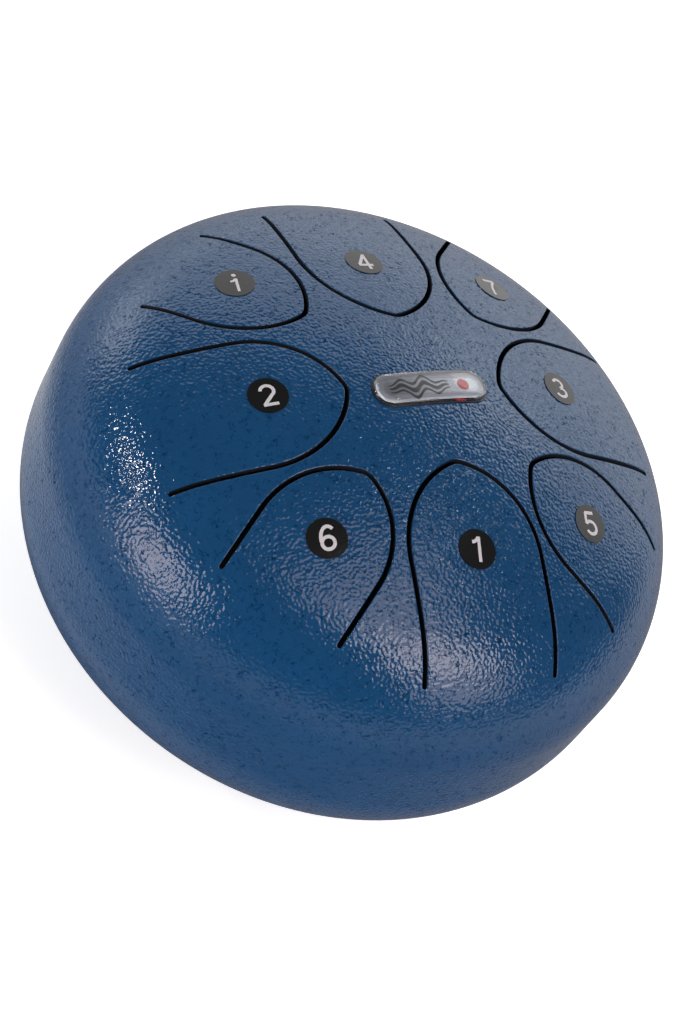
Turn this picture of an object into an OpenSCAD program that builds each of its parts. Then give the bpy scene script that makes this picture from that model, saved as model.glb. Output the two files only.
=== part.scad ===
// Steel tongue drum: two pressed dome shells welded rim to rim, with eight
// tuned tongues cut through the upper dome and a sound hole in the lower one.
// Frame: millimetres, +Z up, origin on the floor under the drum's axis.
// Note 1, the lowest and longest tongue, points toward -Y.

/* [Half shells] */
// Outer diameter at the seam
shell_d = 155; // [153:0.5:158]
// Height of one half shell, from the seam to the crown
half_h = 47.4; // [46.5:0.1:48.5]
// Outer radius of the shoulder that turns the wall into the crown
shoulder_r = 32.2; // [31.5:0.1:33]
// Thickness of the steel
wall = 1.5; // [1.2:0.1:1.8]

/* [Tongues] */
// Width of the cut that frees a tongue
slot_w = 1.1; // [0.9:0.1:1.4]
// Half width of the four low tongues, to the middle of the cut
low_half_w = 16.7; // [16:0.1:17]
// Half width of the four high tongues, to the middle of the cut
high_half_w = 14.9; // [14:0.1:15.2]
// Radius of the two arcs that make the tip of a low tongue
low_arch_r = 22.4; // [20:0.1:24]
// Radius of the two arcs that make the tip of a high tongue
high_arch_r = 20.5; // [19:0.1:22]
// Parting between a tongue's root and the shell
root_gap = 0.1; // [0.08:0.01:0.15]

/* [Labels and badge] */
// Diameter of the round note labels
label_d = 9.2; // [8:0.2:11]
// Thickness of the note labels
label_t = 0.2; // [0.1:0.05:0.4]
// Length of the badge on the crown
badge_l = 30; // [24:1:32]
// Width of the badge
badge_w = 8.9; // [7:0.1:10]
// Thickness of the badge's printed foil
badge_foil_t = 0.3; // [0.2:0.05:0.5]
// Thickness of the clear resin dome over the foil
badge_dome_t = 1.1; // [0.8:0.1:1.5]
// Turn of the badge about the drum's axis
badge_turn = 2.5; // [-45:0.5:45]
// Distance of the badge's middle from the drum's axis, toward note 1
badge_off = 1.3; // [0:0.1:5]

/* [Sound hole and feet] */
// Diameter of the sound hole in the lower shell
sound_hole_d = 40; // [30:1:45]
// Height of the crown of the lower shell above the floor
ground_gap = 1.6; // [1:0.1:4]
// Distance of the feet from the axis
foot_place_r = 36; // [32:1:44]
// Diameter of a foot's flat sole
foot_d = 12; // [10:0.5:13]
// Diameter of the stem pushed through the shell
stem_d = 4.5; // [4:0.1:5]
// Diameter of the retaining head inside the shell
head_d = 7.5; // [6.5:0.1:8]

/* [Seam weld] */
// Width of the weld's root bead on the inside of the seam
bead_w = 3.2; // [2:0.2:4]
// Height of the bead above the inner wall
bead_h = 0.8; // [0.5:0.1:1]

/* [Hidden] */
$fn = 96;
shell_r = shell_d / 2;
seam_z = half_h + ground_gap;
shoulder_x = shell_r - shoulder_r;
// The crown is one spherical cap. It runs tangent into the shoulder arc where
// the surface falls 5 in 12, so the centres of both arcs lie on the line
// [5, 12] and are 13 steps apart.
step = shoulder_x / 5;
crown_r = shoulder_r + 13 * step;
band_h = half_h - shoulder_r - step;
crown_z = band_h - 12 * step;

// One row per tongue: name, azimuth counted counter-clockwise from -Y, and
// distances from the axis to where its sides start to curve into the tip, to
// the end of its cuts and to its label. Then come how far the hand-placed
// label lies off the tongue's middle line, and the tongue's half width to the
// middle of the cut with the radius of its tip's arcs.
AZIMUTH = 1;
ARCH = 2;
ROOT = 3;
LABEL = 4;
ASIDE = 5;
SHAPE = 6;
LOW = [low_half_w, low_arch_r];
HIGH = [high_half_w, high_arch_r];
TONGUES = [
    ["1", 0, 42, 66.7, 40.9, -0.3, LOW],
    ["5", 45, 49, 65.9, 48.1, -0.5, HIGH],
    ["3", 90, 41.2, 61.5, 38.9, 1.7, LOW],
    ["7", 135, 50.7, 62.8, 48.7, -0.2, HIGH],
    ["4", 180, 42, 60.4, 39.2, 0.6, LOW],
    ["high_1", 225, 51.4, 63.2, 49, -0.3, HIGH],
    ["2", 270, 42, 63.2, 38.3, -0.8, LOW],
    ["6", 315, 50.5, 64.7, 48.8, 0.2, HIGH],
];
FEET = [60, 180, 300];

// Section of a layer that follows the pressed dome, between two depths below
// its outer face. The seam plane is at Y = 0 and the axis at X = 0.
module dome_section(depth_in, depth_out) {
    crown_centre = [0, crown_z];
    shoulder_centre = [shoulder_x, band_h];
    far = crown_centre + 20 * step * [5, 12] / 5;
    intersection() {
        ring(crown_centre, crown_r - depth_in, crown_r - depth_out);
        polygon([crown_centre, [0, far[1]], far]);
    }
    intersection() {
        ring(shoulder_centre, shoulder_r - depth_in, shoulder_r - depth_out);
        polygon([shoulder_centre, far, [far[0], band_h]]);
    }
    translate([shell_r - depth_in, 0])
        square([depth_in - depth_out, band_h]);
}

module ring(centre, r_in, r_out) {
    translate(centre)
        difference() {
            circle(r_out);
            circle(r_in);
        }
}

module dome_layer(depth_in, depth_out) {
    rotate_extrude()
        dome_section(depth_in, depth_out);
}

// Upper half shell before cutting, seated on the seam plane.
module upper_dome() {
    translate([0, 0, seam_z])
        dome_layer(wall, 0);
}

// Space within the lower shell's face at the given depth, as a solid.
module lower_space(depth) {
    translate([0, 0, seam_z - crown_z])
        sphere(crown_r - depth);
}

// Outline of a tongue in plan: parallel sides and a pointed arch made of two
// equal arcs. A positive grow moves the outline outward by that amount.
module tongue_outline(t, root_y, grow) {
    half_w = t[SHAPE][0];
    arch_r = t[SHAPE][1];
    side = half_w + grow;
    translate([-side, t[ARCH]])
        square([2 * side, root_y - t[ARCH]]);
    intersection() {
        translate([half_w - arch_r, t[ARCH]])
            circle(arch_r + grow);
        translate([arch_r - half_w, t[ARCH]])
            circle(arch_r + grow);
        translate([-2 * side, 0])
            square([4 * side, t[ARCH]]);
    }
}

// The cuts end in half circles, whose centres mark the root line.
function root_line(t) = t[ROOT] - slot_w / 2;

// Upright column over a plan outline, turned to the tongue's azimuth.
module column_at(t) {
    rotate([0, 0, t[AZIMUTH] + 180])
        translate([0, 0, seam_z])
            linear_extrude(half_h + 5)
                children();
}

// Everything cut out of the shell for a tongue: the tongue with its slot, the
// round ends of the slot and the parting at the root.
module tongue_window(t) {
    half_w = t[SHAPE][0];
    column_at(t) {
        tongue_outline(t, root_line(t), slot_w / 2);
        for (side = [-1, 1])
            translate([side * half_w, root_line(t)])
                circle(slot_w / 2);
        translate([-half_w, root_line(t)])
            square([2 * half_w, root_gap / 2]);
    }
}

module top_shell() {
    color("#1f4a72")
        difference() {
            upper_dome();
            for (t = TONGUES)
                tongue_window(t);
        }
}

module tongue(name) {
    t = TONGUES[search([name], TONGUES)[0]];
    color("#22507a")
        intersection() {
            upper_dome();
            column_at(t)
                tongue_outline(t, root_line(t) - root_gap / 2, -slot_w / 2);
        }
}

// Round sticker pressed onto the crown, square to the surface.
module label(name) {
    t = TONGUES[search([name], TONGUES)[0]];
    lean = asin(t[LABEL] / crown_r);
    sideways = asin(t[ASIDE] / crown_r);
    color("#15161a")
        translate([0, 0, seam_z + crown_z])
            rotate([lean, 0, t[AZIMUTH]])
                rotate([0, sideways, 0])
                    intersection() {
                        difference() {
                            sphere(crown_r + label_t);
                            sphere(crown_r);
                        }
                        translate([0, 0, crown_r - 1])
                            cylinder(d = label_d, h = 3);
                    }
}

module badge_outline(inset) {
    w = badge_w - 2 * inset;
    half_l = (badge_l - badge_w) / 2;
    square([2 * half_l, w], center = true);
    for (side = [-1, 1])
        translate([side * half_l, 0])
            circle(d = w);
}

// Layer of the badge that follows the crown between two heights above it.
module badge_layer(low, high, inset) {
    intersection() {
        translate([0, 0, seam_z + crown_z])
            difference() {
                sphere(crown_r + high);
                sphere(crown_r + low);
            }
        translate([0, -badge_off, seam_z + half_h - 3])
            rotate([0, 0, badge_turn])
                linear_extrude(6)
                    badge_outline(inset);
    }
}

module badge_foil() {
    color("#a9abb0")
        badge_layer(0, badge_foil_t, 0);
}

module badge_dome() {
    color("#d9dde2")
        badge_layer(badge_foil_t, badge_foil_t + badge_dome_t, 0.3);
}

module bottom_shell() {
    color("#1f4a72")
        difference() {
            translate([0, 0, seam_z])
                mirror([0, 0, 1])
                    dome_layer(wall, 0);
            translate([0, 0, -1])
                cylinder(d = sound_hole_d, h = 20);
            for (azimuth = FEET)
                rotate([0, 0, azimuth])
                    translate([0, -foot_place_r, 0])
                        cylinder(d = stem_d, h = 25);
        }
}

// Root bead of the seam weld. Outside, the weld is ground flush.
module seam_weld() {
    bead_r = (bead_w * bead_w / 4 + bead_h * bead_h) / (2 * bead_h);
    inner_r = shell_r - wall;
    color("#6d6a66")
        translate([0, 0, seam_z])
            rotate_extrude()
                intersection() {
                    translate([inner_r - bead_h + bead_r, 0])
                        circle(bead_r);
                    translate([inner_r - bead_h - 1, -bead_w])
                        square([bead_h + 1, 2 * bead_w]);
                }
}

// Rubber foot: a pad moulded to the shell below it, a stem through the shell
// and a head inside that keeps the foot from pulling out.
module foot(azimuth) {
    edge_r = 1.2;
    surface_z = seam_z - crown_z - sqrt(crown_r * crown_r - foot_place_r * foot_place_r);
    color("#1b1b1c")
        rotate([0, 0, azimuth])
            translate([0, -foot_place_r, 0]) {
                difference() {
                    rotate_extrude() {
                        square([foot_d / 2 - edge_r, 14]);
                        translate([0, edge_r])
                            square([foot_d / 2, 14 - edge_r]);
                        translate([foot_d / 2 - edge_r, edge_r])
                            circle(edge_r);
                    }
                    translate([0, foot_place_r, 0])
                        lower_space(0);
                }
                translate([0, 0, surface_z - 2])
                    cylinder(d = stem_d, h = wall + 4);
                intersection() {
                    translate([0, 0, surface_z - 1])
                        cylinder(d = head_d, h = wall + 4.5);
                    translate([0, foot_place_r, 0])
                        lower_space(wall);
                }
            }
}

top_shell();
bottom_shell();
seam_weld();
tongue("1");  // tongue_1
tongue("2");  // tongue_2
tongue("3");  // tongue_3
tongue("4");  // tongue_4
tongue("5");  // tongue_5
tongue("6");  // tongue_6
tongue("7");  // tongue_7
tongue("high_1");  // tongue_high_1
label("1");  // label_1
label("2");  // label_2
label("3");  // label_3
label("4");  // label_4
label("5");  // label_5
label("6");  // label_6
label("7");  // label_7
label("high_1");  // label_high_1
badge_foil();
badge_dome();
foot(FEET[2]);  // foot_left
foot(FEET[1]);  // foot_rear
foot(FEET[0]);  // foot_right
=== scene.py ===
"""A small steel tongue drum in blue hammered lacquer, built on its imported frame.

Shapes are worked out in millimetres in the drum's own frame: +Z up along the
axis, note 1 toward -Y. Meshes go into Blender in metres.
"""

import math

import bpy
import numpy as np
from mathutils import Matrix, Vector


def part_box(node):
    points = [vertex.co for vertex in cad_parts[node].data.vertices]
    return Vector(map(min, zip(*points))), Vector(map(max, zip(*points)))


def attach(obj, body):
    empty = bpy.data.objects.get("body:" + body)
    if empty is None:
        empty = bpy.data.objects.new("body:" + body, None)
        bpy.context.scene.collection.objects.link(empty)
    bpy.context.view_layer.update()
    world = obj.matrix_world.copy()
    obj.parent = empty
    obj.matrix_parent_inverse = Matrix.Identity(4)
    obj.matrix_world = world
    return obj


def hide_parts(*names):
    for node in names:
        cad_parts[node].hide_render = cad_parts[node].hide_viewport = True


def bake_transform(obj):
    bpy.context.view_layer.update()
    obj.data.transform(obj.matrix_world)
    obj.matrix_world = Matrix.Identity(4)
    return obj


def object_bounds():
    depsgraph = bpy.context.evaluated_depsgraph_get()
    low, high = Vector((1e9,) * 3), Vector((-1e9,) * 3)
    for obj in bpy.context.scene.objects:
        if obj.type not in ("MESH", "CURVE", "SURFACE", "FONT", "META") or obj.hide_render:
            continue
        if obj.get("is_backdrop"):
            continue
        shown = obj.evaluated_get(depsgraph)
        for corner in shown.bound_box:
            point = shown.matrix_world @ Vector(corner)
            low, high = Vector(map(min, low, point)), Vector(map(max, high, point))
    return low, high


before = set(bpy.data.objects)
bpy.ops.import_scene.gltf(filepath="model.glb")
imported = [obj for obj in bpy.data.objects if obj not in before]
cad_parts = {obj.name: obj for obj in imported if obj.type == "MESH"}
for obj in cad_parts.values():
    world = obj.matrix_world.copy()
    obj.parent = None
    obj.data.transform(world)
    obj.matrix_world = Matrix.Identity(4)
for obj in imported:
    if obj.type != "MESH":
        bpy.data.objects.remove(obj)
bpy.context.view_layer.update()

# ---------------------------------------------------------------- camera
# A short telephoto above note 6, rolled so that the drum leans to the right.
CAMERA_AZIMUTH = -45.7
CAMERA_ELEVATION = 47.0
CAMERA_ROLL = 34.4
CAMERA_DISTANCE = 0.550
CAMERA_LENS = 80.95
SENSOR_WIDTH = 36
NEAR_CLIP = 0.01
FAR_CLIP = 20
AIM = Vector((-0.0013, -0.0014, 0.0472))


def direction(azimuth, elevation):
    """Unit vector toward an azimuth counted from -Y toward +X, and an elevation, in degrees."""
    a = math.radians(azimuth)
    e = math.radians(elevation)
    return Vector((math.sin(a) * math.cos(e), -math.cos(a) * math.cos(e), math.sin(e)))


camera = bpy.data.objects.new("camera", bpy.data.cameras.new("camera"))
bpy.context.scene.collection.objects.link(camera)
bpy.context.scene.camera = camera
camera.data.sensor_width = SENSOR_WIDTH
camera.data.lens = CAMERA_LENS
camera.data.clip_start = NEAR_CLIP
camera.data.clip_end = FAR_CLIP
camera_back = direction(CAMERA_AZIMUTH, CAMERA_ELEVATION)
camera.rotation_mode = "QUATERNION"
upright = (-camera_back).to_track_quat("-Z", "Y").to_matrix()
rolled = upright @ Matrix.Rotation(math.radians(CAMERA_ROLL), 3, "Z")
camera.rotation_quaternion = rolled.to_quaternion()
camera.location = AIM + camera_back * CAMERA_DISTANCE

# ---------------------------------------------------------------- upper shell
# A dome pressed from 1.5 mm mild steel sheet, with eight tongues cut through
# it by laser, then sprayed with hammered lacquer that rounds the cut edges.
shell_low, shell_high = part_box("top_shell")
SHELL_R = 1000 * shell_high.x
SEAM_Z = 1000 * shell_low.z
HALF_H = 1000 * shell_high.z - SEAM_Z
WALL = 1.5
SHOULDER_R = 32.2
SHOULDER_X = SHELL_R - SHOULDER_R
# the surface falls 5 in 12 where the crown's arc meets the shoulder's
FALL, RUN, SLANT = 5, 12, 13
STEP = SHOULDER_X / FALL
CROWN_R = SHOULDER_R + SLANT * STEP
BAND_H = HALF_H - SHOULDER_R - (SLANT - RUN) * STEP
CROWN_Z = BAND_H - RUN * STEP
JOIN_TILT = math.atan2(FALL, RUN)
CROWN_LENGTH = CROWN_R * JOIN_TILT
SHOULDER_LENGTH = SHOULDER_R * (math.pi / 2 - JOIN_TILT)
SEAM_Q = CROWN_LENGTH + SHOULDER_LENGTH + BAND_H

SLOT_W = 1.1
EDGE_R = 0.22  # rounding that the lacquer leaves on a cut edge
LOW = (16.7, 22.4)  # half width to the middle of the cut, radius of the tip's arcs
HIGH = (14.9, 20.5)
TIP_R = 4.0  # rounding of the tip, to the middle of the cut
# Note: azimuth, where the tip starts to curve, end of the cuts, shape
NOTES = {
    "1": (0, 42.0, 66.7, LOW),
    "5": (45, 49.0, 65.9, HIGH),
    "3": (90, 41.2, 61.5, LOW),
    "7": (135, 50.7, 62.8, HIGH),
    "4": (180, 42.0, 60.4, LOW),
    "high_1": (225, 51.4, 63.2, HIGH),
    "2": (270, 42.0, 63.2, LOW),
    "6": (315, 50.5, 64.7, HIGH),
}
RING = list(NOTES)
ACROSS_TONGUE = 28
ACROSS_RIB = 18
ALONG_LEG = 22
ALONG_ARCH = 34
ALONG_TIP = 8
ROUND_END = 12
CORE_ROWS = 23
SKIRT_ROWS = 30
EDGE_POINTS = 5
SAME_POINT = 5000  # steps in a millimetre, and points on the same step are one


def profile(q, depth):
    """Radius, height, and outward normal of the pressed dome at length q along its outer face from
    the axis and a depth below that face: a crown arc, a shoulder arc, then a straight wall."""
    tilt = np.where(q < CROWN_LENGTH, q / CROWN_R, JOIN_TILT + (q - CROWN_LENGTH) / SHOULDER_R)
    tilt = np.minimum(tilt, math.pi / 2)
    on_crown = q < CROWN_LENGTH
    arc = np.where(on_crown, CROWN_R, SHOULDER_R) - depth
    r = np.where(on_crown, 0, SHOULDER_X) + arc * np.sin(tilt)
    down = np.maximum(q - CROWN_LENGTH - SHOULDER_LENGTH, 0)
    z = np.where(on_crown, CROWN_Z, BAND_H) + arc * np.cos(tilt) - down
    return r, z, np.sin(tilt), np.cos(tilt)


def length_at(r, depth):
    """The length q where the face at that depth has the radius r: each arc's formula reversed."""
    join = (CROWN_R - depth) * math.sin(JOIN_TILT)
    crown = np.arcsin(np.minimum(r, join) / (CROWN_R - depth)) * CROWN_R
    lean = np.arcsin(np.clip((r - SHOULDER_X) / (SHOULDER_R - depth), 0, 1))
    return np.where(r < join, crown, CROWN_LENGTH + (lean - JOIN_TILT) * SHOULDER_R)


def on_dome(x, y, depth):
    """Points and outward normals of the face at that depth over plan points x, y."""
    r = np.hypot(x, y)
    _, z, radial, upward = profile(length_at(r, depth), depth)
    safe = np.maximum(r, 1e-9)
    points = np.stack([x, y, SEAM_Z + z], -1)
    normals = np.stack([radial * x / safe, radial * y / safe, upward + 0 * x], -1)
    return points, normals


def turned(x, y, azimuth):
    """Plan points from a tongue's frame (x across, y away from the axis) to the drum's frame."""
    a = math.radians(azimuth)
    return y * math.sin(a) + x * math.cos(a), -y * math.cos(a) + x * math.sin(a)


def root_line(note):
    """Distance from the axis to the line between the centres of a tongue's two rounded cut ends."""
    return NOTES[note][2] - SLOT_W / 2


def cut_side(note, grow):
    """Half of a tongue's outline moved outward by grow, from the root line down the straight leg,
    round the wide arc, and round the small arc tangent to it that ends at the tip: points x, y and
    the outward normal in plan, all in the tongue's frame."""
    _, arch_y, _, (half_w, arch_r) = NOTES[note]
    grow = np.asarray(grow, float)
    leg = np.linspace(root_line(note), arch_y, ALONG_LEG, endpoint=False)[:, None]
    meet = math.acos((arch_r - half_w) / (arch_r - TIP_R))
    turn = np.concatenate([np.linspace(0, meet, ALONG_ARCH, endpoint=False),
                           np.linspace(meet, math.pi / 2, ALONG_TIP)])[:, None]
    at_tip = turn >= meet
    radius = np.where(at_tip, TIP_R, arch_r) + grow
    arc_x = np.where(at_tip, 0, half_w - arch_r) + radius * np.cos(turn)
    arc_y = arch_y - np.where(at_tip, (arch_r - TIP_R) * math.sin(meet), 0) - radius * np.sin(turn)
    x = np.concatenate([half_w + grow + 0 * leg, arc_x])
    y = np.concatenate([leg + 0 * grow, arc_y])
    face = np.concatenate([0 * leg, turn])[:, 0]
    x[-1] = 0  # the tip lies on the middle line
    return x, y, np.cos(face), -np.sin(face)


def edge_section():
    """A rounded cut edge from the outer face down the wall to the inner face, as rows of: distance
    into the metal, drop from the nearer face, wall's and face's shares in the normal, 1 below."""
    quarter = np.linspace(0, math.pi / 2, EDGE_POINTS)
    inward = EDGE_R * (1 - np.sin(quarter))
    drop = EDGE_R * (1 - np.cos(quarter))
    upper = np.stack([inward, drop, np.sin(quarter), np.cos(quarter), 0 * quarter], -1)
    lower = np.stack([inward, drop, np.sin(quarter), np.cos(quarter), 0 * quarter + 1], -1)[::-1]
    return np.concatenate([upper, lower])


SECTION = edge_section()
INTO = SECTION[:, 0]


def section_surface(x, y, wall_x, wall_y):
    """Points and normals of a cut edge, and where it is bare: x, y are plan points for each place
    along the cut and each point of the section, and wall is the plan normal along the cut."""
    outer, outer_n = on_dome(x, y, 0)
    inner, inner_n = on_dome(x, y, WALL)
    below = SECTION[:, 4] > 0
    points = np.where(below[:, None], inner, outer)
    shift = np.where(below, SECTION[:, 1], -SECTION[:, 1])
    points = points + shift[:, None] * np.array([0, 0, 1])
    wall_n = np.stack([wall_x, wall_y, 0 * wall_x], -1)[:, None, :]
    face_n = np.where(below[:, None], -inner_n, outer_n)
    normals = SECTION[:, 2, None] * wall_n + SECTION[:, 3, None] * face_n
    bare = np.broadcast_to(np.arange(len(SECTION)) >= EDGE_POINTS - 1, points.shape[:2])
    return points, normals / np.linalg.norm(normals, axis=-1, keepdims=True), bare


def grid_faces(rows, columns, start, flip):
    """Quads of a grid of rows by columns whose points are numbered from start."""
    index = start + np.arange(rows * columns).reshape(rows, columns)
    quads = np.stack([index[:-1, :-1], index[1:, :-1], index[1:, 1:], index[:-1, 1:]], -1)
    quads = quads.reshape(-1, 4)
    return quads[:, ::-1] if flip else quads


def skin(name, patches):
    """One mesh object from patches, each a grid of points with normals and marks of where the metal
    is bare. A patch's quads are turned to agree with its normals, points that coincide become one,
    quads that fold up at a pole become triangles, and quads between bare points take the second
    material. Lengths are in mm and the mesh is in metres."""
    points, normals, quads, bare = [], [], [], []
    start = 0
    for p, n, b in patches:
        rows, columns = p.shape[:2]
        cross = np.cross(p[1:, :-1] - p[:-1, :-1], p[:-1, 1:] - p[:-1, :-1])
        agree = (cross * n[:-1, :-1]).sum() > 0
        quads.append(grid_faces(rows, columns, start, not agree))
        points.append(p.reshape(-1, 3))
        normals.append(n.reshape(-1, 3))
        bare.append(np.broadcast_to(b, (rows, columns)).ravel())
        start += rows * columns
    points = np.concatenate(points)
    normals = np.concatenate(normals)
    quads = np.concatenate(quads)
    bare = np.concatenate(bare)[quads].all(1)
    place = np.round(points * SAME_POINT).astype(np.int64)
    _, first, welded = np.unique(place, axis=0, return_index=True, return_inverse=True)
    welded = welded.reshape(-1)
    corners = welded[quads]
    repeat = corners == np.roll(corners, -1, axis=1)
    keep = repeat.sum(1) < 2
    quads, corners, repeat, bare = quads[keep], corners[keep], repeat[keep], bare[keep]
    used = ~repeat
    mesh = bpy.data.meshes.new(name)
    mesh.vertices.add(len(first))
    mesh.vertices.foreach_set("co", (points[first] / 1000).astype(np.float32).ravel())
    sizes = used.sum(1)
    mesh.loops.add(int(sizes.sum()))
    mesh.loops.foreach_set("vertex_index", corners[used].astype(np.int32))
    mesh.polygons.add(len(sizes))
    mesh.polygons.foreach_set("loop_start", (np.cumsum(sizes) - sizes).astype(np.int32))
    mesh.update(calc_edges=True)
    mesh.polygons.foreach_set("use_smooth", np.ones(len(sizes), bool))
    mesh.polygons.foreach_set("material_index", bare.astype(np.int32))
    mesh.normals_split_custom_set(normals[quads[used]])
    mesh.update()
    piece = bpy.data.objects.new(name, mesh)
    bpy.context.scene.collection.objects.link(piece)
    return piece


def round_end(note, side, grow):
    """The half circle that ends a cut, grown by grow, from the tongue's side over the top to the
    shell's side: points and normal into the slot, in the tongue's frame. side is the sign of x."""
    half_w = NOTES[note][3][0]
    turn = np.linspace(math.pi, 0, ROUND_END + 1)[:, None]
    grow = np.asarray(grow, float)
    x = side * (half_w + (SLOT_W / 2 + grow) * np.cos(turn))
    y = root_line(note) + (SLOT_W / 2 + grow) * np.sin(turn)
    turn = turn[:, 0]
    return x, y, -side * np.cos(turn), -np.sin(turn)


def root_cap(note, facing):
    """The flat section through the metal on the root line, between the two cuts, facing away from
    the axis (1) or toward it (-1)."""
    azimuth = NOTES[note][0]
    half = NOTES[note][3][0] - SLOT_W / 2
    share = np.linspace(-1, 1, ACROSS_TONGUE + 1)[:, None]
    x, y = turned(share * (half - INTO), root_line(note) + 0 * share * INTO, azimuth)
    points, _, _ = section_surface(x, y, 0 * x[:, 0], 0 * x[:, 0])
    nx, ny = turned(0, facing, azimuth)
    return points, np.broadcast_to(np.array([nx, ny, 0.0]), points.shape), True


def tongue_edge(note, side, grow, outward):
    """Section of the cut's edge along one side of a tongue, in the drum's frame. grow holds the
    move of the outline for each point of the section, and outward says which way the wall faces."""
    x, y, nx, ny = cut_side(note, grow)
    azimuth = NOTES[note][0]
    x, y = turned(side * x, y, azimuth)
    nx, ny = turned(side * outward * nx, outward * ny, azimuth)
    return section_surface(x, y, nx, ny)


def face_pair(x, y):
    """The outer and the inner face over one plan grid, as two patches."""
    outer, outer_n = on_dome(x, y, 0)
    inner, inner_n = on_dome(x, y, WALL)
    return [(outer, outer_n, False), (inner, -inner_n, True)]


shell_patches = []
skirt_x, skirt_y = [], []
core_x, core_y = [], []
GROWN = SLOT_W / 2 + EDGE_R
for place, note in enumerate(RING):
    following = RING[(place + 1) % len(RING)]
    azimuth = NOTES[note][0]
    half = NOTES[note][3][0] - GROWN
    # the rounded edges of the window: both cut ends, both sides, and the section across the root
    for side in (-1, 1):
        x, y, nx, ny = round_end(note, side, INTO)
        x, y = turned(x, y, azimuth)
        nx, ny = turned(nx, ny, azimuth)
        shell_patches.append(section_surface(x, y, nx, ny))
        shell_patches.append(tongue_edge(note, side, SLOT_W / 2 + INTO, -1))
    shell_patches.append(root_cap(note, -1))
    # the rib between this window and the next: straight lines from one outline to the other
    ax, ay, _, _ = cut_side(note, [GROWN])
    bx, by, _, _ = cut_side(following, [GROWN])
    ax, ay = turned(ax, ay, azimuth)
    bx, by = turned(-bx, by, NOTES[following][0])
    share = np.linspace(0, 1, ACROSS_RIB + 1)
    rib_x = ax + (bx - ax) * share
    rib_y = ay + (by - ay) * share
    shell_patches += face_pair(rib_x, rib_y)
    # the inner line of the skirt: left cut end, root line, right cut end, outer end of the rib
    left = turned(*[v[::-1, 0] for v in round_end(note, -1, [EDGE_R])[:2]], azimuth)
    across = np.linspace(-half, half, ACROSS_TONGUE + 1)
    root = turned(across, root_line(note) + 0 * across, azimuth)
    right = turned(*[v[:, 0] for v in round_end(note, 1, [EDGE_R])[:2]], azimuth)
    for k, line in enumerate((skirt_x, skirt_y)):
        line += [left[k][:-1], root[k][:-1], right[k][:-1], (rib_x, rib_y)[k][0, :-1]]
    core_x.append(rib_x[-1, :-1])
    core_y.append(rib_y[-1, :-1])


def closed(parts):
    """The parts of a closed line joined into one array that ends where it starts."""
    line = np.concatenate(parts)
    return np.append(line, line[0])


# the crown between the tips: straight lines from the axis to the line through them
share = np.linspace(0, 1, CORE_ROWS + 1)[:, None]
shell_patches += face_pair(share * closed(core_x), share * closed(core_y))

# the skirt: every point of its inner line carried down its meridian to the seam
line_x, line_y = closed(skirt_x), closed(skirt_y)
line_r = np.hypot(line_x, line_y)
share = np.linspace(0, 1, SKIRT_ROWS + 1)[:, None]
seam_edge = []
for depth, sign in ((0, 1), (WALL, -1)):
    start = length_at(line_r, depth)
    r, z, radial, upward = profile(start + (SEAM_Q - start) * share, depth)
    ux, uy = line_x / line_r, line_y / line_r
    points = np.stack([r * ux, r * uy, SEAM_Z + z], -1)
    normals = sign * np.stack([radial * ux, radial * uy, upward], -1)
    shell_patches.append((points, normals, sign < 0))
    seam_edge.append(points[-1])
rim = np.stack(seam_edge)
shell_patches.append((rim, np.broadcast_to(np.array([0, 0, -1.0]), rim.shape), True))

upper_shell = skin("upper_shell_skin", shell_patches)


def linear(hex_colour):
    """An sRGB hex colour as linear RGBA."""
    values = np.array([int(hex_colour[k:k + 2], 16) for k in (1, 3, 5)]) / 255
    low = values / 12.92
    high = ((values + 0.055) / 1.055) ** 2.4
    return (*np.where(values <= 0.04045, low, high), 1.0)


def add_node(tree, kind, settings=None, links=None):
    """A node with its settings, by property or input, and its links, input to output socket. An
    input goes by its name, its number, or its identifier where several share a name."""
    node = tree.nodes.new(kind)
    by_identifier = {}

    def socket(key):
        return by_identifier[key] if key in by_identifier else node.inputs[key]

    for key, value in (settings or {}).items():
        if isinstance(key, str) and hasattr(node, key):
            setattr(node, key, value)
            by_identifier = {entry.identifier: entry for entry in node.inputs}
        else:
            socket(key).default_value = value
    for key, output in (links or {}).items():
        tree.links.new(output, socket(key))
    return node


def new_material(name, shader_settings):
    """A material with one Principled shader: returns the material, its tree and the shader."""
    material = bpy.data.materials.new(name)
    material.use_nodes = True
    tree = material.node_tree
    tree.nodes.clear()
    shader = add_node(tree, "ShaderNodeBsdfPrincipled", shader_settings)
    add_node(tree, "ShaderNodeOutputMaterial", {}, {"Surface": shader.outputs[0]})
    return material, tree, shader


PER_METRE = 1000.0  # over a size in millimetres, it gives a pattern's scale


def mottled(tree, shader, grain, detail, dark, light):
    """Lets the base colour drift between two hex colours, in patches of a grain in millimetres."""
    place = add_node(tree, "ShaderNodeTexCoord").outputs["Object"]
    patches = add_node(tree, "ShaderNodeTexNoise",
                       {"Scale": PER_METRE / grain, "Detail": detail}, {"Vector": place})
    tone = add_node(tree, "ShaderNodeMix",
                    {"data_type": "RGBA", "A_Color": linear(dark), "B_Color": linear(light)},
                    {"Factor_Float": patches.outputs["Fac"]})
    tree.links.new(tone.outputs[2], shader.inputs["Base Color"])


def embossed(tree, shader, grain, detail, height, strength=1.0, roughness=0.5):
    """Gives the surface bumps of a grain in millimetres and a height in metres."""
    place = add_node(tree, "ShaderNodeTexCoord").outputs["Object"]
    bumps = add_node(tree, "ShaderNodeTexNoise",
                     {"Scale": PER_METRE / grain, "Detail": detail, "Roughness": roughness},
                     {"Vector": place})
    relief = add_node(tree, "ShaderNodeBump", {"Strength": strength, "Distance": height},
                      {"Height": bumps.outputs["Fac"]})
    tree.links.new(relief.outputs["Normal"], shader.inputs["Normal"])


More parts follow.
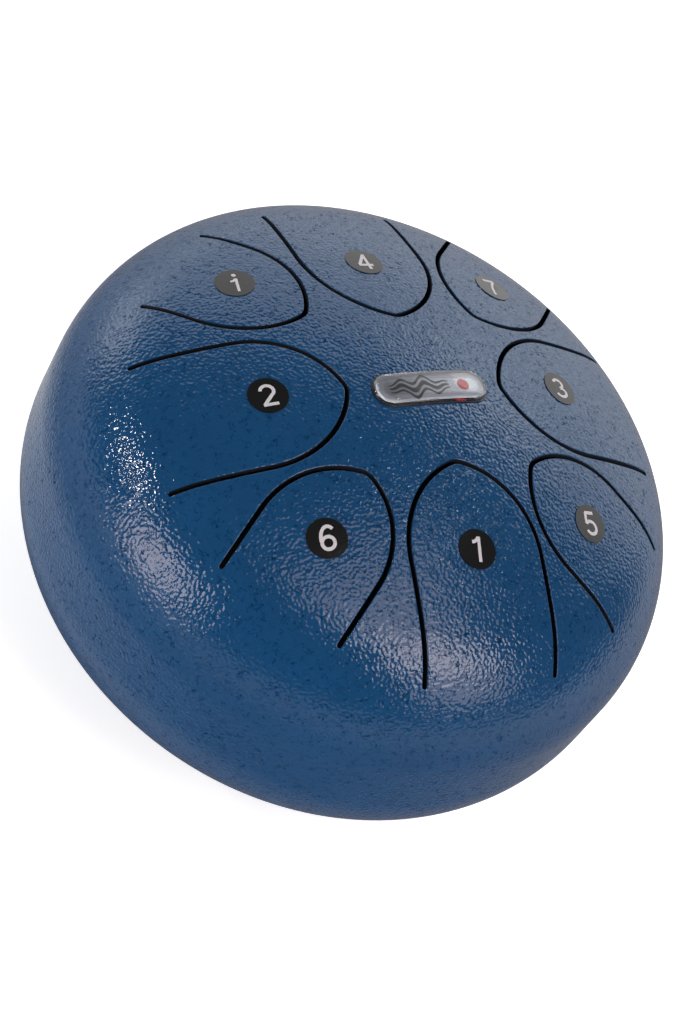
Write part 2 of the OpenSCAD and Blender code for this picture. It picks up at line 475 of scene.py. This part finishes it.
# Hammered lacquer, sprayed and stoved on steel: a glossy deep blue film whose
# silicone draws it into low round bumps about 1 mm apart, so a lamp breaks
# into many glints on it. Short dark pits show where it has drawn thin.
lacquer, tree, shader = new_material("blue_hammered_lacquer", {"Roughness": 0.09, "IOR": 1.5})
embossed(tree, shader, 0.75, 0.6, 0.00018, roughness=0.35)
place = add_node(tree, "ShaderNodeTexCoord").outputs["Object"]
# pits are short lines where one pattern crosses its middle value, kept where a second is high
line = add_node(tree, "ShaderNodeTexNoise",
                {"Scale": PER_METRE / 1.5, "Detail": 2.0, "Roughness": 0.6, "Distortion": 0.6},
                {"Vector": place})
off_line = add_node(tree, "ShaderNodeMath", {"operation": "SUBTRACT", 1: 0.5},
                    {0: line.outputs["Fac"]})
off_line = add_node(tree, "ShaderNodeMath", {"operation": "ABSOLUTE"}, {0: off_line.outputs[0]})
on_line = add_node(tree, "ShaderNodeMapRange",
                   {"From Min": 0.010, "From Max": 0.035, "To Min": 1.0, "To Max": 0.0},
                   {"Value": off_line.outputs[0]})
spread = add_node(tree, "ShaderNodeTexNoise",
                  {"Scale": PER_METRE / 1.9, "Detail": 2.0, "Roughness": 0.7}, {"Vector": place})
kept = add_node(tree, "ShaderNodeMapRange", {"From Min": 0.50, "From Max": 0.58},
                {"Value": spread.outputs["Fac"]})
pit = add_node(tree, "ShaderNodeMath", {"operation": "MULTIPLY"},
               {0: on_line.outputs[0], 1: kept.outputs[0]})
drift = add_node(tree, "ShaderNodeTexNoise",
                 {"Scale": PER_METRE / 14.0, "Detail": 3.0}, {"Vector": place})
film = add_node(tree, "ShaderNodeMix",
                {"data_type": "RGBA", "A_Color": linear("#04385f"), "B_Color": linear("#07406a")},
                {"Factor_Float": drift.outputs["Fac"]})
pitted = add_node(tree, "ShaderNodeMix", {"data_type": "RGBA", "B_Color": linear("#022a4a")},
                  {"Factor_Float": pit.outputs[0], "A_Color": film.outputs[2]})
tree.links.new(pitted.outputs[2], shader.inputs["Base Color"])
# a pit mirrors no lamp head on
gloss = add_node(tree, "ShaderNodeMapRange", {"To Min": 0.5, "To Max": 0.0},
                 {"Value": pit.outputs[0]})
tree.links.new(gloss.outputs[0], shader.inputs["Specular IOR Level"])

# Mill scale on the steel inside and down the laser's cut, where no lacquer
# reaches: a blue-black oxide, dull and slightly mottled.
scale, tree, shader = new_material("mill_scaled_steel", {"Roughness": 0.55, "IOR": 1.6})
mottled(tree, shader, 5.0, 5.0, "#0c0e12", "#1a1c21")
embossed(tree, shader, 0.4, 2.0, 0.00003, strength=0.4)

upper_shell.data.materials.append(lacquer)
upper_shell.data.materials.append(scale)
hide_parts("top_shell")
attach(upper_shell, "drum")

# ---------------------------------------------------------------- tongues
# Each tongue is the metal left inside its cut, still one piece with the shell
# at the root.
for note, (azimuth, *_) in NOTES.items():
    x, y, _, _ = cut_side(note, [-GROWN])
    share = np.linspace(-1, 1, ACROSS_TONGUE + 1)
    patches = face_pair(*turned(x * share, y + 0 * share, azimuth))
    for side in (-1, 1):
        patches.append(tongue_edge(note, side, -(SLOT_W / 2 + INTO), 1))
    patches.append(root_cap(note, 1))
    tongue = skin("tongue_skin_" + note, patches)
    tongue.data.materials.append(lacquer)
    tongue.data.materials.append(scale)
    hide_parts("tongue_" + note)
    root = root_line(note)
    start = Vector((*turned(0, root / 1000, azimuth), 0))
    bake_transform(tongue)

# ---------------------------------------------------------------- lower shell
# The mirror of the dome, pressed from the same sheet, with the round sound
# hole punched in its middle. It is lacquered together with the upper one.
SOUND_HOLE_R = 20.0
ROUND_STEPS = 288
LOWER_ROWS = 89


def revolved(r, z, normal_r, normal_z):
    """Grids of points and normals of a profile turned once about the drum's axis."""
    turn = np.linspace(0, 2 * math.pi, ROUND_STEPS + 1)
    turn[-1] = 0
    c, s = np.cos(turn), np.sin(turn)
    points = np.stack([r[:, None] * c, r[:, None] * s, z[:, None] + 0 * c], -1)
    normal_r, normal_z = normal_r[:, None], normal_z[:, None]
    normals = np.stack([normal_r * c, normal_r * s, normal_z + 0 * c], -1)
    return points, normals


lower_patches = []
rims = []
for depth, sign in ((0, 1), (WALL, -1)):
    start = length_at(np.array(SOUND_HOLE_R + EDGE_R), depth)
    q = start + (SEAM_Q - start) * np.linspace(0, 1, LOWER_ROWS + 1)
    r, z, radial, upward = profile(q, depth)
    lower_patches.append((*revolved(r, SEAM_Z - z, sign * radial, -sign * upward), sign < 0))
    rims.append(r[-1])
rim_r = np.array(rims)
lower_patches.append((*revolved(rim_r, SEAM_Z + 0 * rim_r, 0 * rim_r, 1 + 0 * rim_r), True))
hole_r = SOUND_HOLE_R + INTO
hole_out, _ = on_dome(hole_r, 0 * hole_r, 0)
hole_in, _ = on_dome(hole_r, 0 * hole_r, WALL)
drop = SECTION[:, 1]
hole_z = np.where(SECTION[:, 4] > 0, hole_in[:, 2] + drop, hole_out[:, 2] - drop)
hole_face = np.where(SECTION[:, 4] > 0, 1, -1) * SECTION[:, 3]
lower_patches.append((*revolved(hole_r, 2 * SEAM_Z - hole_z, -SECTION[:, 2], hole_face), False))
lower_shell = skin("lower_shell_skin", lower_patches)
lower_shell.data.materials.append(lacquer)
lower_shell.data.materials.append(scale)
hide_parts("bottom_shell")
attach(lower_shell, "drum")

# ---------------------------------------------------------------- seam weld
# The root of the weld that joins the shells: a low bead all round inside,
# left as laid under its dark oxide. Outside it is ground flush and lacquered.
weld_metal, tree, shader = new_material("oxidised_weld_steel", {"Roughness": 0.6, "IOR": 1.5})
mottled(tree, shader, 6.0, 4.0, "#121214", "#25211f")
place = add_node(tree, "ShaderNodeTexCoord").outputs["Object"]
ripple = add_node(tree, "ShaderNodeTexWave",
                  {"wave_type": "RINGS", "rings_direction": "SPHERICAL", "Scale": PER_METRE / 9.0,
                   "Distortion": 3.0, "Detail": 1.0}, {"Vector": place})
laid = add_node(tree, "ShaderNodeBump", {"Strength": 0.6, "Distance": 0.0002},
                {"Height": ripple.outputs["Fac"]})
tree.links.new(laid.outputs["Normal"], shader.inputs["Normal"])
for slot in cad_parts["seam_weld"].material_slots:
    slot.material = weld_metal

# ---------------------------------------------------------------- note labels
# Round stickers of black vinyl 0.2 mm thick, one on each tongue, with the
# note's number printed in white. They lie close enough to show the lacquer's
# bumps through the film.
LABEL_T = 0.2
NUMERAL_H = 5.7
PRINT_T = 0.03
BOW_POINTS = 33
vinyl, tree, shader = new_material("black_vinyl", {"Roughness": 0.13, "IOR": 1.5})
mottled(tree, shader, 2.5, 4.0, "#040405", "#0b0b0c")
embossed(tree, shader, 0.85, 0.8, 0.000015, roughness=0.35)

ink, tree, shader = new_material("white_screen_ink", {"Roughness": 0.45, "IOR": 1.5})
mottled(tree, shader, 0.5, 3.0, "#b2b1b5", "#c2c1c5")


def bow(x, y, wide, tall, start, end):
    """Points along an arc of an ellipse about x, y, from one angle to another in degrees."""
    turn = np.radians(np.linspace(start, end, BOW_POINTS))
    return np.stack([x + wide * np.cos(turn), y + tall * np.sin(turn)], -1)


def rule(*corners):
    """Points along straight lines through the corners."""
    return np.array(corners, float)


def band(path, width):
    """A flat band along a path: two rows, half the width to either side and square to its run."""
    run = np.gradient(path, axis=0)
    run /= np.linalg.norm(run, axis=1, keepdims=True)
    side = np.stack([-run[:, 1], run[:, 0]], -1) * width / 2
    return np.stack([path - side, path + side])


# The strokes of each numeral, one unit high above its foot
STROKES = {
    "1": [rule((0.09, 0), (0.09, 0.98)), bow(-0.22, 1.02, 0.29, 0.26, -88, -10)],
    "2": [np.concatenate([bow(0, 0.69, 0.255, 0.245, 172, -38), rule((-0.24, 0.08))]),
          rule((-0.29, 0.065), (0.30, 0.065))],
    "3": [bow(-0.01, 0.72, 0.225, 0.215, 160, -90), bow(0, 0.285, 0.265, 0.22, 92, -162)],
    "4": [rule((0.13, 0), (0.13, 0.99)), rule((0.12, 0.93), (-0.29, 0.30)),
          rule((-0.33, 0.285), (0.33, 0.285))],
    "5": [rule((-0.19, 0.935), (0.26, 0.935)), rule((-0.16, 0.94), (-0.215, 0.47)),
          bow(0, 0.325, 0.265, 0.26, 145, -155)],
    "6": [bow(0.01, 0.305, 0.245, 0.24, 0, 360), bow(0.055, 0.43, 0.30, 0.505, 48, 186)],
    "7": [rule((-0.29, 0.935), (0.30, 0.935)), bow(0.62, 0.0, 0.70, 1.05, 180, 118)],
}
STROKE_W = 0.135
LABEL_TILT = {"1": -7, "high_1": -10}  # how far each was stuck on out of true
OCTAVE_SIZE = 0.80
OCTAVE_DROP = 0.03
OCTAVE_DOT = (0.02, 0.96, 0.09, 0.09)
for note in NOTES:
    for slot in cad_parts["label_" + note].material_slots:
        slot.material = vinyl
    label_low, label_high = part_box("label_" + note)
    centre = 1000 * np.array((label_low + label_high)[:2]) / 2
    strokes = [band(path, STROKE_W) for path in STROKES[note[-1]]]
    if note == "high_1":  # the octave above is marked by a dot over a shorter numeral
        strokes = [stroke * OCTAVE_SIZE - np.array([0, OCTAVE_DROP]) for stroke in strokes]
        ring = bow(*OCTAVE_DOT, 0, 360)
        strokes.append(np.stack([ring, 0 * ring + ring.mean(0)]))
    tilt = math.radians(LABEL_TILT.get(note, 0))
    lean = np.array([[math.cos(tilt), -math.sin(tilt)], [math.sin(tilt), math.cos(tilt)]])
    printed = []
    for stroke in strokes:
        flat = (stroke - np.array([0, 0.5])) * NUMERAL_H @ lean.T + centre
        printed.append((*on_dome(flat[..., 0], flat[..., 1], -(LABEL_T + PRINT_T)), False))
    numeral = skin("numeral_" + note, printed)
    numeral.data.materials.append(ink)
    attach(numeral, "note_" + note)

# ---------------------------------------------------------------- badge foil
# A brushed silver foil with a dark printed border, stuck on the crown. Its
# print is a plain motif: three black sound waves and a red dot.
BADGE_L = 30.0
BADGE_W = 8.9
BADGE_OFF = 1.3
BADGE_TURN = math.radians(2.5)
FOIL_T = 0.3
HALF_RUN = (BADGE_L - BADGE_W) / 2
FOIL_EDGE = 0.06
BORDER = (0.50, 0.42)  # from the edge, where the dark border starts and where it is full
END_POINTS = 40
RUN_STEPS = 23


def badge_ring(inset):
    """Points round the badge's outline moved inward, and the outline's normals: two straight runs
    joined by half circles whose radius is half the width less the inset. Rows are the insets."""
    turn = np.linspace(-math.pi / 2, math.pi / 2, END_POINTS)
    run = np.linspace(-1, 1, RUN_STEPS + 1)[1:-1] * HALF_RUN
    x = np.concatenate([run, HALF_RUN + 0 * turn, -run, -HALF_RUN + 0 * turn])
    way = np.concatenate([0 * run - math.pi / 2, turn, 0 * run + math.pi / 2, turn + math.pi])
    x, way = np.append(x, x[0]), np.append(way, way[0])
    radius = BADGE_W / 2 - np.asarray(inset, float)[:, None]
    return x + radius * np.cos(way), radius * np.sin(way), np.cos(way), np.sin(way)


def on_badge(x, y):
    """Plan points from the badge's own frame to the drum's."""
    c, s = math.cos(BADGE_TURN), math.sin(BADGE_TURN)
    return x * c - y * s, x * s + y * c - BADGE_OFF


def badge_layer(name, low, rise, inset, wall_share):
    """A closed layer over the badge's outline, with a row for each inset: rise is the row's height
    above the crown, and wall_share is the outline's share in its normal. The middle closes on the
    outline's spine, and the underside follows the crown at the height low."""
    full = BADGE_W / 2
    x, y, nx, ny = badge_ring(np.append(inset, full))
    out_x, out_y = on_badge(nx, ny)
    out_y = out_y + BADGE_OFF
    patches = []
    heights = np.append(rise, rise[-1])
    top, up = on_dome(*on_badge(x, y), 0)
    top = top + up * heights[:, None, None]
    share = np.append(wall_share, 0)[:, None, None]
    side = np.stack([out_x, out_y, 0 * out_x], -1)[None]
    normals = side * share + up * np.sqrt(1 - share ** 2)
    patches.append((top, normals / np.linalg.norm(normals, axis=-1, keepdims=True), False))
    x, y, _, _ = badge_ring([inset[0], full])
    under, up = on_dome(*on_badge(x, y), 0)
    patches.append((under + up * low, -up, False))
    wall = np.stack([under[0] + up[0] * low, top[0]])
    patches.append((wall, np.broadcast_to(side, wall.shape), False))
    return skin(name, patches)


foil = badge_layer("badge_foil_skin", 0.0, np.array([FOIL_T - FOIL_EDGE, FOIL_T, FOIL_T]),
                   np.array([0.0, FOIL_EDGE, 2.0]), np.array([0.9, 0.0, 0.0]))
foil_print, tree, shader = new_material("brushed_aluminium_foil",
                                        {"Metallic": 1.0, "Roughness": 0.3})
place = add_node(tree, "ShaderNodeTexCoord").outputs["Object"]
held = add_node(tree, "ShaderNodeMapping",
                {"Location": (0, BADGE_OFF / 1000, 0)}, {"Vector": place})
held = add_node(tree, "ShaderNodeMapping", {"Rotation": (0, 0, -BADGE_TURN)},
                {"Vector": held.outputs[0]})
grain = add_node(tree, "ShaderNodeMapping", {"Scale": (0.06, 1, 1)}, {"Vector": held.outputs[0]})
brushed = add_node(tree, "ShaderNodeTexNoise", {"Scale": PER_METRE / 0.16, "Detail": 2.0},
                   {"Vector": grain.outputs[0]})
silver = add_node(tree, "ShaderNodeMix",
                  {"data_type": "RGBA", "A_Color": linear("#64666d"), "B_Color": linear("#93959c")},
                  {"Factor_Float": brushed.outputs["Fac"]})
# distance from the badge's spine, which is half its width at the edge
part = add_node(tree, "ShaderNodeSeparateXYZ", {}, {0: held.outputs[0]})
along = add_node(tree, "ShaderNodeMath", {"operation": "ABSOLUTE"}, {0: part.outputs["X"]})
along = add_node(tree, "ShaderNodeMath", {"operation": "SUBTRACT", 1: HALF_RUN / 1000},
                 {0: along.outputs[0]})
along = add_node(tree, "ShaderNodeMath", {"operation": "MAXIMUM", 1: 0.0}, {0: along.outputs[0]})
flat = add_node(tree, "ShaderNodeCombineXYZ", {}, {"X": along.outputs[0], "Y": part.outputs["Y"]})
away = add_node(tree, "ShaderNodeVectorMath", {"operation": "LENGTH"}, {0: flat.outputs[0]})
border = add_node(tree, "ShaderNodeMapRange",
                  {"From Min": (BADGE_W / 2 - BORDER[0]) / 1000,
                   "From Max": (BADGE_W / 2 - BORDER[1]) / 1000}, {"Value": away.outputs["Value"]})
bordered = add_node(tree, "ShaderNodeMix", {"data_type": "RGBA", "B_Color": linear("#15171c")},
                    {"Factor_Float": border.outputs[0], "A_Color": silver.outputs[2]})
tree.links.new(bordered.outputs[2], shader.inputs["Base Color"])
# the border's ink is no metal
bare = add_node(tree, "ShaderNodeMath", {"operation": "SUBTRACT", 0: 1.0}, {1: border.outputs[0]})
tree.links.new(bare.outputs[0], shader.inputs["Metallic"])
foil.data.materials.append(foil_print)
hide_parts("badge_foil")
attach(foil, "drum")

black_print, tree, shader = new_material("black_screen_ink", {"Roughness": 0.35, "IOR": 1.5})
mottled(tree, shader, 0.6, 3.0, "#0c0d10", "#1d1f24")
WAVES = 2.5
WAVE_RUN = 15.4
WAVE_AT = -3.3
FADE_RUN = 1.08 * WAVE_RUN
DRAWN_IN = 0.35  # how much of a line's distance is left at its ends
WAVE_STEPS = 160
# Each line of waves: distance from the badge's long axis, thickness
WAVE_LINES = ((1.8, 0.75), (0.0, 1.25), (-1.8, 0.75))
wave_x = np.linspace(-WAVE_RUN / 2, WAVE_RUN / 2, WAVE_STEPS + 1)
wave_patches = []
for shift, thick in WAVE_LINES:
    # a sine whose swing and thickness fade toward both ends, where the lines also draw together
    fade = np.cos(math.pi * wave_x / FADE_RUN)
    line_y = shift * (DRAWN_IN + (1 - DRAWN_IN) * fade)
    line_y = line_y + fade * np.sin(2 * math.pi * WAVES * wave_x / WAVE_RUN)
    side = np.array([[-0.5], [0.5]]) * thick * np.sqrt(fade)
    bx, by = on_badge(WAVE_AT + wave_x + 0 * side, line_y + side)
    face, up = on_dome(bx, by, 0)
    wave_patches.append((face + up * (FOIL_T + PRINT_T), up, False))
waves = skin("badge_waves", wave_patches)
waves.data.materials.append(black_print)
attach(waves, "drum")

red_print, tree, shader = new_material("red_screen_ink", {"Roughness": 0.35, "IOR": 1.5})
mottled(tree, shader, 0.6, 3.0, "#7e0f1c", "#951624")
DOT_AT = 8.3
DOT_R = 1.5
DOT_STEPS = 64
turn = np.linspace(0, 2 * math.pi, DOT_STEPS + 1)
turn[-1] = 0
# the rim comes before the centre, because skin turns a patch by its first corners
reach = np.array([[DOT_R], [0.0]])
face, up = on_dome(*on_badge(DOT_AT + reach * np.cos(turn), reach * np.sin(turn)), 0)
dot = skin("badge_dot", [(face + up * (FOIL_T + PRINT_T), up, False)])
dot.data.materials.append(red_print)
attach(dot, "drum")

# ---------------------------------------------------------------- badge dome
# Clear polyurethane resin poured on the foil. It draws back from the edge
# into a smooth lens, whose rounded border gathers the light.
DOME_T = 1.1
DOME_INSET = 0.3
LIP_T = 0.15  # upright edge of the resin, below its rounding
LENS_RUN = 1.7  # how far in from its edge the resin is rounded
LENS_RINGS = 12
OFF_FOIL = 0.01  # keeps the resin's underside clear of the foil
ease = np.linspace(0, math.pi / 2, LENS_RINGS)
lens_t = DOME_T - LIP_T
dome_inset = DOME_INSET + LENS_RUN * (1 - np.cos(ease))
dome_rise = FOIL_T + LIP_T + lens_t * np.sin(ease)
slope = lens_t * np.cos(ease) / np.maximum(LENS_RUN * np.sin(ease), 1e-6)
resin_dome = badge_layer("badge_dome_skin", FOIL_T + OFF_FOIL, dome_rise, dome_inset,
                         slope / np.sqrt(1 + slope ** 2))
resin, tree, shader = new_material("clear_polyurethane", {"Roughness": 0.04, "IOR": 1.49,
                                                          "Transmission Weight": 1.0})
shader.inputs["Base Color"].default_value = linear("#f4f6f8")
embossed(tree, shader, 5.0, 1.0, 0.00006)
resin_dome.data.materials.append(resin)
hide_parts("badge_dome")
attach(resin_dome, "drum")
# light passes the clear resin to the print under it, as no shadow of it shows on the foil
resin_dome.visible_shadow = False

# ---------------------------------------------------------------- feet
# Three moulded rubber buttons pushed through holes in the lower shell, each
# held by the mushroom head on its stem.
rubber, tree, shader = new_material("black_moulded_rubber", {"Roughness": 0.62, "IOR": 1.52})
mottled(tree, shader, 4.0, 5.0, "#141415", "#262627")
embossed(tree, shader, 0.35, 2.0, 0.00005, strength=0.5)
for foot in ("foot_left", "foot_rear", "foot_right"):
    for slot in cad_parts[foot].material_slots:
        slot.material = rubber

# ---------------------------------------------------------------- studio
# A pale floor under soft panels, with a bright sweep beyond the drum and
# a dark room behind the camera.
FLOOR_HALF = 4.0
# a painted pool of light, seen only in the lacquer's reflections, beside the drum at the camera's
# left
POOL_AT = direction(CAMERA_AZIMUTH - 67, 0) * 0.06
POOL_EDGE = (0.13, 0.05)  # from its middle, where the painted pool of light starts and where it is full
DRUM_EDGE = (0.072, 0.092)  # from the axis, where the pool is cut off and where it is whole
PAINTED_SHADOW_EDGE = (0.020, 0.050)  # from the axis, where the painted shadow under the drum ends and where the pale paper starts


def ground(name, height, colour, glow, near, far, pool=0.0):
    """A flat square of matt paper at a height in metres, painted near black under the drum as its
    shadow. It glows, as painted light, beyond the distance near from the axis, fully from far on,
    and in a painted pool of light at the camera's left."""
    mesh = bpy.data.meshes.new(name)
    corner = np.array([[-1, -1], [1, -1], [1, 1], [-1, 1]]) * FLOOR_HALF
    mesh.from_pydata([(x, y, height) for x, y in corner], [], [(0, 1, 2, 3)])
    sheet = bpy.data.objects.new(name, mesh)
    bpy.context.scene.collection.objects.link(sheet)
    paper, tree, shader = new_material(name + "_paper", {"Roughness": 0.9})
    spot = add_node(tree, "ShaderNodeTexCoord").outputs["Object"]
    reach = add_node(tree, "ShaderNodeVectorMath", {"operation": "LENGTH"}, {0: spot})
    lit = add_node(tree, "ShaderNodeMapRange",
                   {"interpolation_type": "SMOOTHSTEP", "From Min": near, "From Max": far,
                    "To Max": glow}, {"Value": reach.outputs["Value"]})
    aside = add_node(tree, "ShaderNodeVectorMath", {"operation": "DISTANCE", 1: POOL_AT},
                     {0: spot})
    pooled = add_node(tree, "ShaderNodeMapRange",
                      {"interpolation_type": "SMOOTHSTEP", "From Min": POOL_EDGE[0],
                       "From Max": POOL_EDGE[1], "To Max": pool},
                      {"Value": aside.outputs["Value"]})
    clear_of_drum = add_node(tree, "ShaderNodeMapRange",
                             {"interpolation_type": "SMOOTHSTEP", "From Min": DRUM_EDGE[0],
                              "From Max": DRUM_EDGE[1]}, {"Value": reach.outputs["Value"]})
    light = add_node(tree, "ShaderNodeMath", {"operation": "MULTIPLY_ADD"},
                     {0: pooled.outputs[0], 1: clear_of_drum.outputs[0], 2: lit.outputs[0]})
    tree.links.new(light.outputs[0], shader.inputs["Emission Strength"])
    shader.inputs["Emission Color"].default_value = linear("#ffffff")
    # painted shadow: the paper's colour turns near black toward the axis, under the drum
    outside_painted_shadow = add_node(tree, "ShaderNodeMapRange",
                          {"interpolation_type": "SMOOTHSTEP", "From Min": PAINTED_SHADOW_EDGE[0],
                           "From Max": PAINTED_SHADOW_EDGE[1]}, {"Value": reach.outputs["Value"]})
    tone = add_node(tree, "ShaderNodeMix",
                    {"data_type": "RGBA", "A_Color": linear("#161616"), "B_Color": linear(colour)},
                    {"Factor_Float": outside_painted_shadow.outputs[0]})
    tree.links.new(tone.outputs[2], shader.inputs["Base Color"])
    mesh.materials.append(paper)
    sheet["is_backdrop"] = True
    return sheet


# the floor the eye sees, with painted shadow under the drum where its glow fades and its paper
# darkens
floor = ground("floor", 0.0, "#ececec", 0.62, 0.026, 0.056)
# the lacquer mirrors a greyer floor than the eye sees: a painted reflection whose
# glow is painted light, brightening only away from the drum, where its painted shade
# ends, and in a painted pool of light at the camera's left
floor.visible_glossy = False
painted_reflection_sheet = ground("painted_reflection_floor", 0.0002, "#8e8e8e", 0.45, 0.10, 0.40, 0.38)
painted_reflection_sheet.visible_camera = False
painted_reflection_sheet.visible_diffuse = False
painted_reflection_sheet.visible_shadow = False
painted_reflection_sheet.visible_transmission = False

PANEL_DISTANCE = 1.2


def panel(name, azimuth, elevation, width, height, radiance, tint="#ffffff"):
    """A soft panel that faces the drum from an azimuth and elevation, both in degrees. Its power
    is pi times its area and its radiance."""
    lamp = bpy.data.lights.new(name, "AREA")
    lamp.shape = "RECTANGLE"
    lamp.size = width
    lamp.size_y = height
    lamp.energy = radiance * math.pi * width * height
    lamp.color = linear(tint)[:3]
    fixture = bpy.data.objects.new(name, lamp)
    toward = direction(azimuth, elevation)
    fixture.location = Vector((0, 0, SEAM_Z / 1000)) + toward * PANEL_DISTANCE
    fixture.rotation_mode = "QUATERNION"
    fixture.rotation_quaternion = (-toward).to_track_quat("-Z", "Y")
    fixture.visible_camera = False
    bpy.context.scene.collection.objects.link(fixture)


panel("left_panel", CAMERA_AZIMUTH - 37, 12, 0.58, 0.56, 5.8, "#fff2f2")
panel("left_lamp", CAMERA_AZIMUTH - 69, 26, 0.08, 0.14, 70)
panel("right_panel", CAMERA_AZIMUTH + 69, 38, 0.62, 1.10, 2.4, "#fff2f2")
panel("right_core", CAMERA_AZIMUTH + 68, 46, 0.50, 0.44, 4.2, "#fff2f2")
panel("upper_panel", CAMERA_AZIMUTH + 64, 72, 0.80, 0.55, 2.1, "#fff2f2")
panel("top_lamp", CAMERA_AZIMUTH + 143, 67, 0.05, 0.05, 30)
panel("back_panel", CAMERA_AZIMUTH + 172, 35, 0.45, 0.26, 1.6)
panel("side_panel", CAMERA_AZIMUTH - 112, 8, 0.40, 0.50, 1.1)

world = bpy.data.worlds.new("studio")
bpy.context.scene.world = world
world.use_nodes = True
tree = world.node_tree
tree.nodes.clear()
way = add_node(tree, "ShaderNodeTexCoord").outputs["Generated"]
level = add_node(tree, "ShaderNodeVectorMath", {"operation": "MULTIPLY", 1: (1, 1, 0)}, {0: way})
level = add_node(tree, "ShaderNodeVectorMath", {"operation": "NORMALIZE"},
                 {0: level.outputs[0]})
beyond = add_node(tree, "ShaderNodeVectorMath",
                  {"operation": "DOT_PRODUCT", 1: direction(CAMERA_AZIMUTH + 200, 0)},
                  {0: level.outputs[0]})
wide = add_node(tree, "ShaderNodeMapRange",
                {"interpolation_type": "SMOOTHSTEP", "From Min": 0.42, "From Max": 0.58},
                {"Value": beyond.outputs["Value"]})
# the sweep is an upright sheet, and its top edge stands 46 degrees above the drum where nearest
SWEEP_TOP = math.tan(math.radians(46))
upright_sheet = direction(CAMERA_AZIMUTH + 186, 0) * SWEEP_TOP - Vector((0, 0, 1))
under_top = add_node(tree, "ShaderNodeVectorMath",
                     {"operation": "DOT_PRODUCT", 1: upright_sheet}, {0: way})
high = add_node(tree, "ShaderNodeMapRange",
                {"interpolation_type": "SMOOTHSTEP", "From Min": -0.06, "From Max": 0.06},
                {"Value": under_top.outputs["Value"]})
sweep = add_node(tree, "ShaderNodeMath", {"operation": "MULTIPLY"},
                 {0: wide.outputs[0], 1: high.outputs[0]})
glow = add_node(tree, "ShaderNodeMapRange", {"To Min": 0.19, "To Max": 1.45},
                {"Value": sweep.outputs[0]})
sky = add_node(tree, "ShaderNodeBackground", {"Color": linear("#ffffff")},
               {"Strength": glow.outputs[0]})
add_node(tree, "ShaderNodeOutputWorld", {}, {"Surface": sky.outputs[0]})

bpy.context.scene.view_settings.view_transform = "Standard"

low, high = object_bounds()
